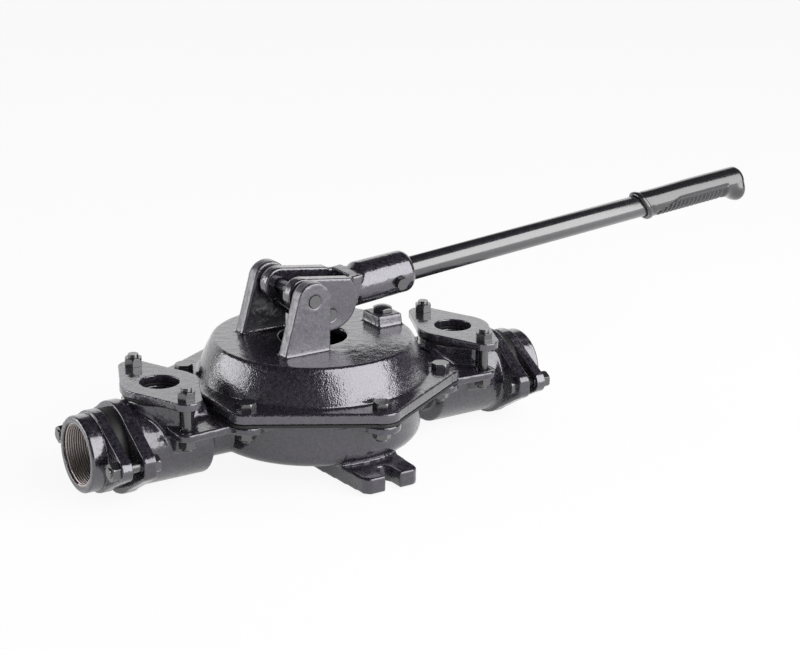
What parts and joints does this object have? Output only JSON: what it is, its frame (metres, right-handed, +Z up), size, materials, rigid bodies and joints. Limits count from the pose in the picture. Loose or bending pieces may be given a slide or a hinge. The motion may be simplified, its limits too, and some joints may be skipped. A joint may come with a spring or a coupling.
{
  "type": "hand lever diaphragm pump",
  "caption": "Cast-iron hand diaphragm pump: domed cover on a bowl, long lever in a clevis, valve chambers with threaded end ports and flanged upright ports, slotted feet.",
  "frame": {"origin": "on the floor under the centre of the pump's bowl, midway between the two feet", "axes": "+X towards the lever's grip along the two end ports, +Z up"},
  "size_m": [0.8118, 0.2918, 0.224],
  "materials": {
    "cast_enamel": "gloss black enamel over sand-cast iron",
    "painted_steel": "gloss black paint on steel",
    "black_rubber": "matt black rubber sheet",
    "grip_plastic": "gloss black moulded plastic"
  },
  "bodies": {
    "base": {"pump_body": "cast_enamel", "foot_ends": "cast_enamel", "cover": "cast_enamel", "left_port_flange": "cast_enamel", "right_port_flange": "cast_enamel", "left_end_flange": "cast_enamel", "right_end_flange": "cast_enamel", "diaphragm_plate": "painted_steel", "cover_bolts": "painted_steel", "cover_nuts": "painted_steel", "stop_screw": "painted_steel", "left_studs": "painted_steel", "right_studs": "painted_steel", "left_stud_nuts": "painted_steel", "right_stud_nuts": "painted_steel", "left_end_bolts": "painted_steel", "right_end_bolts": "painted_steel", "left_end_nuts": "painted_steel", "right_end_nuts": "painted_steel", "pivot_pin": "painted_steel", "diaphragm": "black_rubber", "left_port_gasket": "black_rubber", "right_port_gasket": "black_rubber", "left_valve_plate": "black_rubber", "right_valve_plate": "black_rubber"},
    "lever": {"lever_fork": "cast_enamel", "lever_tube": "painted_steel", "lever_grip": "grip_plastic", "clamp_screw": "painted_steel", "link_pin": "painted_steel"},
    "link": {"link": "painted_steel"}
  },
  "joints": [
    {"name": "lever_pivot", "type": "hinge", "parent": "base", "child": "lever", "pos_m": [-0.027, 0, 0.1683], "axis": [0, -1, 0], "range_deg": [-1.5, 40]},
    {"name": "link_swing", "type": "hinge", "parent": "lever", "child": "link", "pos_m": [0.00404, 0, 0.14401], "axis": [0, -1, 0], "range_deg": [-40, 1.5]}
  ],
  "couplings": [
    {"joint": "link_swing", "follows": "lever_pivot", "ratio": -1}
  ]
}
